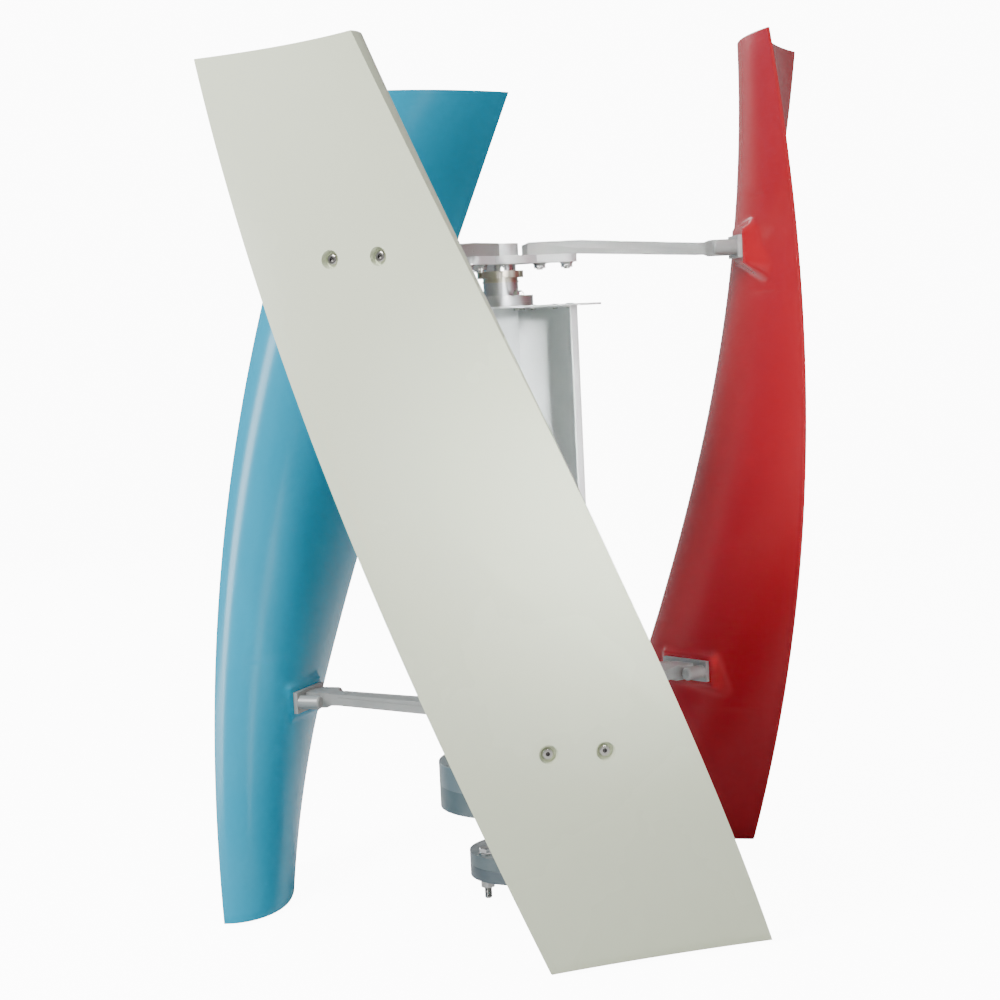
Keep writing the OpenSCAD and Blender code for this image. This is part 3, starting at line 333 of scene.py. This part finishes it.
def turned(profile, segments=48):
    """A solid turned round Z from (radius, height) points that start and end on the axis."""
    bm = bmesh.new()
    line = [bm.verts.new((radius, 0, height)) for radius, height in profile]
    edges = [bm.edges.new(pair) for pair in zip(line, line[1:])]
    bmesh.ops.spin(bm, geom=line + edges, axis=(0, 0, 1), cent=(0, 0, 0), angle=math.tau,
                   steps=segments, use_merge=True)
    bmesh.ops.remove_doubles(bm, verts=bm.verts, dist=1e-7)
    bmesh.ops.recalc_face_normals(bm, faces=bm.faces)
    return bm


def hex_bar(radius, low, high):
    bm = bmesh.new()
    bmesh.ops.create_cone(bm, cap_ends=True, segments=6, radius1=radius, radius2=radius,
                          depth=high - low)
    bmesh.ops.translate(bm, verts=bm.verts, vec=(0, 0, (low + high) / 2))
    return bm


def carve(blank, tool, how):
    """The blank with the tool cut from it, or only what they share; both bmeshes are used up."""
    held = []
    for label, bm in (("blank", blank), ("tool", tool)):
        mesh = bpy.data.meshes.new(label)
        bm.to_mesh(mesh)
        bm.free()
        held.append(bpy.data.objects.new(label, mesh))
        bpy.context.collection.objects.link(held[-1])
    cut = held[0].modifiers.new("cut", "BOOLEAN")
    cut.operation = how
    cut.solver = "EXACT"
    cut.object = held[1]
    result = bmesh.new()
    done = bpy.data.meshes.new_from_object(
        held[0].evaluated_get(bpy.context.evaluated_depsgraph_get()))
    result.from_mesh(done)
    for item in held:
        bpy.data.objects.remove(item)
    return result


def chamfered_hex(radius, low, high, both=False):
    """A hexagon whose corners are turned off at its top, and at its foot too for a nut."""
    flat, drop = radius * math.cos(math.pi / 6), radius * 0.12
    foot = [(0, low), (flat, low), (radius, low + drop)] if both else [(0, low), (radius, low)]
    return carve(hex_bar(radius, low, high),
                 turned(foot + [(radius, high - drop), (flat * 0.97, high), (0, high)]),
                 "INTERSECT")


def thread_ends(radius, low, high, pitch):
    """Points down a rod's side from high to low, as thread crests and roots, closed on the axis."""
    points, z = [], high
    while z - pitch > low + 0.5 * pitch:
        points += [(radius, z), (radius - 0.61 * pitch, z - pitch / 2)]
        z -= pitch
    return points + [(radius, z), (radius - pitch, low), (0, low)]


def place_copies(name, parts, places, finish, slot, body, *nodes, sharp=32, inside=None):
    """One piece made of copies of the parts at each place, in the stead of the CAD nodes."""
    whole = bmesh.new()
    for place in places:
        for part in parts:
            copy = part.copy()
            bmesh.ops.transform(copy, verts=copy.verts, matrix=place)
            scrap = bpy.data.meshes.new("scrap")
            copy.to_mesh(scrap)
            copy.free()
            whole.from_mesh(scrap)
            bpy.data.meshes.remove(scrap)
    bmesh.ops.recalc_face_normals(whole, faces=whole.faces)
    mesh = bpy.data.meshes.new(name)
    whole.to_mesh(mesh)
    whole.free()
    mesh.materials.append(finish)
    if inside:
        mesh.materials.append(inside)
    mesh.shade_smooth()
    mesh.set_sharp_from_angle(angle=math.radians(sharp))
    piece = bpy.data.objects.new(name, mesh)
    bpy.context.collection.objects.link(piece)
    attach(piece, body)
    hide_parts(*nodes)
    return piece


stainless = metal_finish("stainless", (0.44, 0.44, 0.43), 0.24, worn=0.3)
flange_places = [Matrix.Rotation(math.radians(-62 + 90 * i), 4, "Z")
                 @ Matrix.Translation((0, -0.059, 0)) for i in range(4)]
bolt_rod = turned([(0, 0.0345), (FLANGE_BOLT_R, 0.0345)]
                  + thread_ends(FLANGE_BOLT_R, -0.025, 0.010, 0.0015))
bolt_head = chamfered_hex(FLANGE_HEAD_R, 0.034, 0.0404)
place_copies("flange_bolts_cut", [bolt_rod, bolt_head], flange_places, stainless, "stainless",
             "base", "flange_bolts")
nut_bore = turned([(0, -0.012), (0.0051, -0.012), (0.0051, 0), (0, 0)])
flange_nut = carve(chamfered_hex(FLANGE_HEAD_R, -0.0104, -0.002, both=True), nut_bore,
                   "DIFFERENCE")
place_copies("flange_nuts_cut", [flange_nut], flange_places, stainless, "stainless", "base",
             "flange_nuts")
refinish(stainless, "flange_washers")

# Inside the generator: two iron discs with round magnets, a cast stator with wound coils between
# them, the nut and spacer that set the air gap, and the bearings, cages, seal and wiring grommet.
ground_steel = metal_finish("ground_steel", (0.58, 0.59, 0.61), 0.22, marks="drawn", worn=0.2)
magnet_plate = metal_finish("magnet_plate", (0.66, 0.65, 0.60), 0.15, worn=0.1)
copper_wire = metal_finish("copper_wire", (0.55, 0.22, 0.08), 0.35, marks="turned", worn=0.1)
black_oxide = metal_finish("black_oxide", (0.05, 0.05, 0.055), 0.35, worn=0.5)
stator_resin = metal_finish("stator_resin", (0.16, 0.13, 0.09), 0.5, metallic=0.0, worn=0.1)
cage_nylon = metal_finish("cage_nylon", (0.62, 0.56, 0.38), 0.55, metallic=0.0, worn=0.0)
black_rubber = metal_finish("black_rubber", (0.025, 0.025, 0.025), 0.7, metallic=0.0, worn=0.1,
                            worn_colour=(0.09, 0.09, 0.09))
refinish(ground_steel, "upper_bearing_outer_ring", "upper_bearing_inner_ring",
         "upper_bearing_balls", "lower_bearing_outer_ring", "lower_bearing_inner_ring",
         "lower_bearing_balls", "lower_magnet_disc", "upper_magnet_disc", "disc_spacer",
         "disc_nut")
refinish(magnet_plate, "lower_magnets", "upper_magnets")
refinish(copper_wire, "stator_coils")
refinish(stator_resin, "stator")
refinish(cage_nylon, "upper_bearing_cage", "lower_bearing_cage")
refinish(black_rubber, "shaft_seal", "wiring_grommet")
refinish(black_oxide, "cover_screws", "grub_screws")

# Shaft: a ground steel bar, 40 mm across, that runs through the whole rotor, with its snap rings.
refinish(ground_steel, "shaft", "shaft_rings")

# Hubs: turned aluminium flanges that grip the end plates, with their screws, tab washers and
# notched lock nuts in yellowish zinc plate.
machined = metal_finish("machined_alloy", (0.46, 0.47, 0.48), 0.44, marks="turned", worn=0.2)
softened("lower_hub", 0.0007, machined, "rotor")
softened("upper_hub", 0.0007, machined, "rotor")
zinc_plate = metal_finish("zinc_plate", (0.42, 0.39, 0.32), 0.36, marks="turned", worn=0.3)
softened("lower_lock_nut", 0.0006, zinc_plate, "rotor")
softened("upper_lock_nut", 0.0006, zinc_plate, "rotor")
refinish(zinc_plate, "tab_washers")
refinish(stainless, "hub_screws", "hub_nuts")

# Starting rotor: two half-round scoops and two round end plates in white-coated aluminium sheet,
# riveted through the scoops' turned-in rims.
scoop_paint = metal_finish("scoop_paint", (0.82, 0.87, 0.88), 0.40, metallic=0.0, worn=0.1,
                           fine=500, coat=0.1)
refinish(scoop_paint, "lower_scoop_plate", "upper_scoop_plate", "front_scoop", "rear_scoop")
refinish(stainless, "scoop_rivets")

# Spiders: three-lobed cast plates on the shaft, painted silver grey.
silver_cast = metal_finish("silver_cast", (0.36, 0.37, 0.365), 0.42, metallic=0.40, worn=0.5,
                           fine=1100, bump=0.00004)
softened("lower_spider", 0.0016, silver_cast, "rotor")
softened("upper_spider", 0.0016, silver_cast, "rotor")

# Arms: six like castings, three on each spider, each with a bolted foot, a tapering beam,
# a flared collar and a T-shaped end with two screw bosses. They are painted silver grey like the spiders.
ARM_UPPER, ARM_LOWER = -28.0253, 10.0317
for arm in ("upper_arm_white", "upper_arm_red", "upper_arm_blue",
            "lower_arm_white", "lower_arm_red", "lower_arm_blue"):
    softened(arm, 0.0016, silver_cast, "rotor")
refinish(stainless, "upper_arm_bolts", "lower_arm_bolts")

# Foot nuts: flanged hex nuts that hold each arm's foot to its spider, two to an arm, with the end
# of the bolt showing through.
foot_hex = carve(chamfered_hex(0.0073, -0.0066, -0.0012),
                 turned([(0, -0.01), (0.0041, -0.01), (0.0041, 0.001), (0, 0.001)]), "DIFFERENCE")
foot_flange = turned([(0.0041, 0), (0.0090, 0), (0.0090, -0.0008), (0.0074, -0.0024),
                      (0.0041, -0.0024), (0.0041, 0)])
for level, direction in (("upper", ARM_UPPER), ("lower", ARM_LOWER)):
    low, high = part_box(level + "_arm_nuts")
    seat = Matrix.Translation((0, 0, high[2])) if level == "upper" else (
        Matrix.Translation((0, 0, low[2])) @ Matrix.Scale(-1, 4, (0, 0, 1)))
    spots = [Matrix.Rotation(math.radians(direction + 120 * k), 4, "Z")
             @ Matrix.Translation((0, -reach, 0)) @ seat
             for k in range(3) for reach in (0.050, 0.084)]
    place_copies(level + "_foot_nuts", [foot_hex, foot_flange], spots, stainless, "stainless",
                 "rotor", level + "_arm_nuts")

# Blades: three hollow mouldings in glossy gelcoat, each slanted round a third of the circle. The
# outer face is slightly dished, the inner face full and rounded, and two flat pads stand on the
# inner face where the arms bolt on. Two sunk bolts show at each pad's place outside.
HALF = 0.525
MID_Z = (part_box("blade_white")[0][2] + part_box("blade_white")[1][2]) / 2
ROTOR_R = 0.390
FIX_Z = 0.2815
PAD_HALF = (0.046, 0.021)
RECESS_R = 0.011
RECESS_DEPTH = 0.0085
BOLT_SIDE = 0.032
ACROSS = 100


def through(top, mid, low, t):
    return mid + (low - top) / 2 * t + ((top + low) / 2 - mid) * t * t


def edge_point(radius, azimuth):
    a = math.radians(azimuth)
    return Vector((radius * math.sin(a), -radius * math.cos(a)))


def blade_point(t, c, inner):
    """A point of the section at height t (-1 top, 1 foot), c from trailing to leading edge."""
    te_a, le_a = through(-63.5, -31.1, 3.2, t), through(-22.5, 12, 45.1, t)
    te = edge_point(ROTOR_R - through(0.004, 0.0165, 0.016, t), te_a)
    le = edge_point(ROTOR_R + through(0, 0, 0.0035, t), le_a)
    chord = (le - te).normalized()
    inward = Vector((-chord.y, chord.x))
    dish = through(0.0154, 0.0103, 0.0052, t)
    point = te + (le - te) * c + inward * dish * 4 * c * (1 - c)
    if inner:
        u = 1 - c
        full = 10 * (0.2969 * math.sqrt(u) - 0.126 * u - 0.3516 * u ** 2 + 0.2843 * u ** 3
                     - 0.1036 * u ** 4)
        point += inward * (through(0.0438, 0.0475, 0.0512, t) * full + 0.003 * u)
    return point


def fixing_azimuth(upper):
    t = (-1 if upper else 1) * FIX_Z / HALF
    te_a, le_a = through(-63.5, -31.1, 3.2, t), through(-22.5, 12, 45.1, t)
    return math.radians(te_a + (0.488 if upper else 0.536) * (le_a - te_a))


def pad_frame(upper):
    a = fixing_azimuth(upper)
    return (Vector((math.sin(a), -math.cos(a))), Vector((math.cos(a), math.sin(a))),
            FIX_Z if upper else -FIX_Z)


def face_radius(upper, off, inner):
    out, side, pad_z = pad_frame(upper)
    t = -pad_z / HALF
    te, le = blade_point(t, 0, False), blade_point(t, 1, False)
    c = (off - te.dot(side)) / (le.dot(side) - te.dot(side))
    skin = blade_point(t, c, False)
    depth = (blade_point(t, c, True) - skin).length if inner else 0
    return skin.dot(out) - depth


PAD_R = min(face_radius(upper, off, True) for upper in (True, False)
            for off in (-PAD_HALF[0], 0, PAD_HALF[0])) - 0.001


def raise_pad(point, z, upper):
    """Draws an inner-face point in to the flat pad and to its flared sides."""
    out, side, pad_z = pad_frame(upper)
    off = max(abs(point.dot(side)) - PAD_HALF[0], 0)
    high = max(abs(z - pad_z) - PAD_HALF[1], 0)
    if off > 0.06 or high > 0.055:
        return point
    flare = PAD_R + 1.05 * math.hypot(off, high)
    now = point.dot(out)
    blend = 0.0030
    mix = min(max(0.5 + 0.5 * (flare - now) / blend, 0), 1)
    reach = flare + (now - flare) * mix - blend * mix * (1 - mix)
    return point + out * (reach - now)


def blade_levels():
    steps, z = [-HALF], -HALF
    while z < HALF - 0.001:
        z += 0.0022 if abs(abs(z) - FIX_Z) < 0.062 else 0.0105
        steps.append(min(z, HALF))
    return steps


def screw_cutter(turn):
    """Tapered round pockets, one for each blade bolt, cut in from the outer face."""
    bm = bmesh.new()
    for upper in (True, False):
        out, side, pad_z = pad_frame(upper)
        for off in (-BOLT_SIDE, BOLT_SIDE):
            floor_r = bolt_floor(upper, off)
            one = bmesh.ops.create_cone(bm, cap_ends=True, segments=64, radius1=RECESS_R - 0.0012,
                                        radius2=RECESS_R + 0.0002, depth=0.012)["verts"]
            spin = Matrix(((side.x, 0, out.x, 0), (side.y, 0, out.y, 0), (0, -1, 0, 0),
                           (0, 0, 0, 1)))
            centre = out * (floor_r + 0.006) + side * off
            bmesh.ops.transform(bm, verts=one,
                                matrix=Matrix.Translation((centre.x, centre.y, MID_Z + pad_z)) @ spin)
    bmesh.ops.rotate(bm, verts=bm.verts, cent=(0, 0, 0),
                     matrix=Matrix.Rotation(math.radians(turn), 3, "Z"))
    bmesh.ops.recalc_face_normals(bm, faces=bm.faces)
    mesh = bpy.data.meshes.new("pocket_cutter")
    bm.to_mesh(mesh)
    bm.free()
    cutter = bpy.data.objects.new("pocket_cutter", mesh)
    bpy.context.collection.objects.link(cutter)
    return cutter


def bolt_floor(upper, off):
    return face_radius(upper, off, False) - RECESS_DEPTH


def gelcoat(name, colour, deep, rough, ripple):
    """Glossy coloured gelcoat: a clear coat, a faint long ripple of the mould, fine dust specks."""
    finish = bpy.data.materials.new(name)
    finish.use_nodes = True
    tree = finish.node_tree
    shader = tree.nodes["Principled BSDF"]
    place = tree.nodes.new("ShaderNodeTexCoord")
    grain = tree.nodes.new("ShaderNodeGroup")
    grain.node_tree = grain_group
    grain.inputs["Fine"].default_value = 420
    grain.inputs["Broad"].default_value = 5
    dust = tree.nodes.new("ShaderNodeGroup")
    dust.node_tree = dust_group
    dust.inputs["Amount"].default_value = 0.10
    tone = tree.nodes.new("ShaderNodeMix")
    tone.data_type = "RGBA"
    tone.inputs["A"].default_value = (*deep, 1)
    tone.inputs["B"].default_value = (*colour, 1)
    dusted = tree.nodes.new("ShaderNodeMix")
    dusted.data_type = "RGBA"
    dusted.inputs["B"].default_value = (0.75, 0.74, 0.71, 1)
    bumps = tree.nodes.new("ShaderNodeBump")
    bumps.inputs["Distance"].default_value = 1.0
    wave = math_node(tree, "MULTIPLY", grain.outputs["Tone"], ripple)
    peel = math_node(tree, "MULTIPLY", grain.outputs["Height"], 0.000006)
    height = math_node(tree, "ADD", wave, peel)
    smear = math_node(tree, "MULTIPLY", grain.outputs["Tone"], 0.10)
    rough_all = math_node(tree, "ADD", smear, rough - 0.05)
    wire(tree, [
        (place.outputs["Object"], grain.inputs["Vector"]),
        (place.outputs["Object"], dust.inputs["Vector"]),
        (grain.outputs["Tone"], tone.inputs["Factor"]),
        (tone.outputs["Result"], dusted.inputs["A"]),
        (dust.outputs["Mask"], dusted.inputs["Factor"]),
        (dusted.outputs["Result"], shader.inputs["Base Color"]),
        (rough_all, shader.inputs["Roughness"]),
        (height, bumps.inputs["Height"]),
        (bumps.outputs["Normal"], shader.inputs["Normal"])])
    shader.inputs["Specular IOR Level"].default_value = 0.25
    shader.inputs["Coat Weight"].default_value = 0.06
    shader.inputs["Coat Roughness"].default_value = 0.15
    return finish


def blade(name, turn, finish):
    levels = blade_levels()
    around = 2 * ACROSS + 1
    bm = bmesh.new()
    bmesh.ops.create_grid(bm, x_segments=around, y_segments=len(levels) - 1, size=1)
    for vert in bm.verts:
        i = round((vert.co.x + 1) / 2 * around)
        k = round((vert.co.y + 1) / 2 * (len(levels) - 1))
        inner = ACROSS < i <= 2 * ACROSS
        s = i / ACROSS if i <= ACROSS else (2 * ACROSS - i) / ACROSS if inner else 0
        c = 0.45 * s + 0.55 * (1 - math.cos(math.pi * s)) / 2
        z = levels[k]
        point = blade_point(-z / HALF, c, inner)
        if inner and 0.02 < c < 0.98:
            point = raise_pad(raise_pad(point, z, True), z, False)
        vert.co = (point.x, point.y, MID_Z + z)
    bmesh.ops.remove_doubles(bm, verts=bm.verts, dist=1e-7)
    for upper in (True, False):
        out, side, pad_z = pad_frame(upper)
        skirt = [v for v in bm.verts if not v.is_boundary and abs(v.co.z - MID_Z - pad_z) < 0.075
                 and 0.040 < max(abs(v.co.xy.dot(side)) - 0.004, abs(v.co.z - MID_Z - pad_z) + 0.022)
                 and v.co.xy.dot(out) < PAD_R + 0.040 and abs(v.co.xy.dot(side)) < 0.100
                 and v.co.xy.dot(out) > PAD_R + 0.0008]
        for _ in range(4):
            bmesh.ops.smooth_vert(bm, verts=skirt, factor=0.5, use_axis_x=True, use_axis_y=True,
                                  use_axis_z=False)
    rims = [e for e in bm.edges if e.is_boundary]
    bmesh.ops.holes_fill(bm, edges=rims, sides=0)
    bmesh.ops.bevel(bm, geom=rims, offset=0.0009, offset_type="OFFSET", segments=2, profile=0.5,
                    affect="EDGES", material=-1, clamp_overlap=True)
    bmesh.ops.rotate(bm, verts=bm.verts, cent=(0, 0, 0),
                     matrix=Matrix.Rotation(math.radians(turn), 3, "Z"))
    bmesh.ops.recalc_face_normals(bm, faces=bm.faces)
    mesh = bpy.data.meshes.new(name)
    bm.to_mesh(mesh)
    bm.free()
    piece = bpy.data.objects.new(name, mesh)
    bpy.context.collection.objects.link(piece)
    cutter = screw_cutter(turn)
    pockets = piece.modifiers.new("bolt_pockets", "BOOLEAN")
    pockets.operation = "DIFFERENCE"
    pockets.solver = "EXACT"
    pockets.object = cutter
    cut = bpy.data.meshes.new_from_object(
        piece.evaluated_get(bpy.context.evaluated_depsgraph_get()))
    piece.modifiers.clear()
    bpy.data.objects.remove(cutter)
    cut.name = name
    piece.data = cut
    cut.materials.clear()
    cut.materials.append(finish)
    cut.shade_smooth()
    cut.set_sharp_from_angle(angle=math.radians(64))
    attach(piece, "rotor")
    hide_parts(name.replace("_shell", ""))
    return piece


white_gelcoat = gelcoat("white_gelcoat", (0.75, 0.80, 0.61), (0.73, 0.78, 0.595), 0.27, 0.00003)
red_gelcoat = gelcoat("red_gelcoat", (0.42, 0.011, 0.020), (0.39, 0.009, 0.017), 0.24, 0.00003)
blue_gelcoat = gelcoat("blue_gelcoat", (0.003, 0.33, 0.53), (0.002, 0.31, 0.50), 0.25, 0.00003)
blade("blade_white_shell", 0, white_gelcoat)
blade("blade_red_shell", 120, red_gelcoat)
blade("blade_blue_shell", -120, blue_gelcoat)

# Blade bolts: stainless button-head screws with a hexagon socket, each sunk in its pocket on the
# blade's outer face and screwed into a boss behind the arm's end plate.
polished = metal_finish("polished_stainless", (0.50, 0.49, 0.46), 0.17, worn=0.1, dusty=0.02)
# The sockets' near-black finish is painted shade in their hollows; the stainless screws are not dark
# inside.
socket_painted_shade = metal_finish("socket_painted_shade", (0.09, 0.085, 0.08), 0.35, worn=0.1, dusty=0.0)
bolt_length = 0.005 * math.floor((min(bolt_floor(upper, off) for upper in (True, False)
                                      for off in (-BOLT_SIDE, BOLT_SIDE))
                                  - (PAD_R - 0.006) + 0.026) / 0.005)
dome = [(0.0046 + 0.0024 * math.cos(a), 0.0016 + 0.0030 * math.sin(a))
        for a in [math.radians(10 * k) for k in range(10)]]
button = carve(turned([(0, -bolt_length), (0.0036, -bolt_length), (0.0040, 0.0006 - bolt_length),
                       (0.0040, 0), (0.0068, 0), (0.0070, 0.0003)] + dome + [(0, dome[-1][1])]),
               carve(hex_bar(0.0029, 0.0014, 0.008), turned(
                   [(0, 0.0010), (0.0029, 0.0024), (0.0034, 0.008), (0, 0.008)]), "INTERSECT"),
               "DIFFERENCE")
# Faces inside the hexagon socket take the second finish, the painted shade.
for face in button.faces:
    if all(math.hypot(v.co.x, v.co.y) < 0.00295 and v.co.z > 0.0009 for v in face.verts):
        face.material_index = 1
for level in ("upper", "lower"):
    out, side, pad_z = pad_frame(level == "upper")
    spots = []
    for turn in (0, 120, -120):
        for off in (-BOLT_SIDE, BOLT_SIDE):
            seat = out * bolt_floor(level == "upper", off) + side * off
            spots.append(Matrix.Rotation(math.radians(turn), 4, "Z") @ Matrix((
                (side.x, 0, out.x, seat.x), (side.y, 0, out.y, seat.y),
                (0, -1, 0, MID_Z + pad_z), (0, 0, 0, 1))))
    place_copies(level + "_button_bolts", [button], spots, polished, "stainless", "rotor",
                 level + "_blade_bolts", inside=socket_painted_shade)
refinish(stainless, "blade_sleeves")
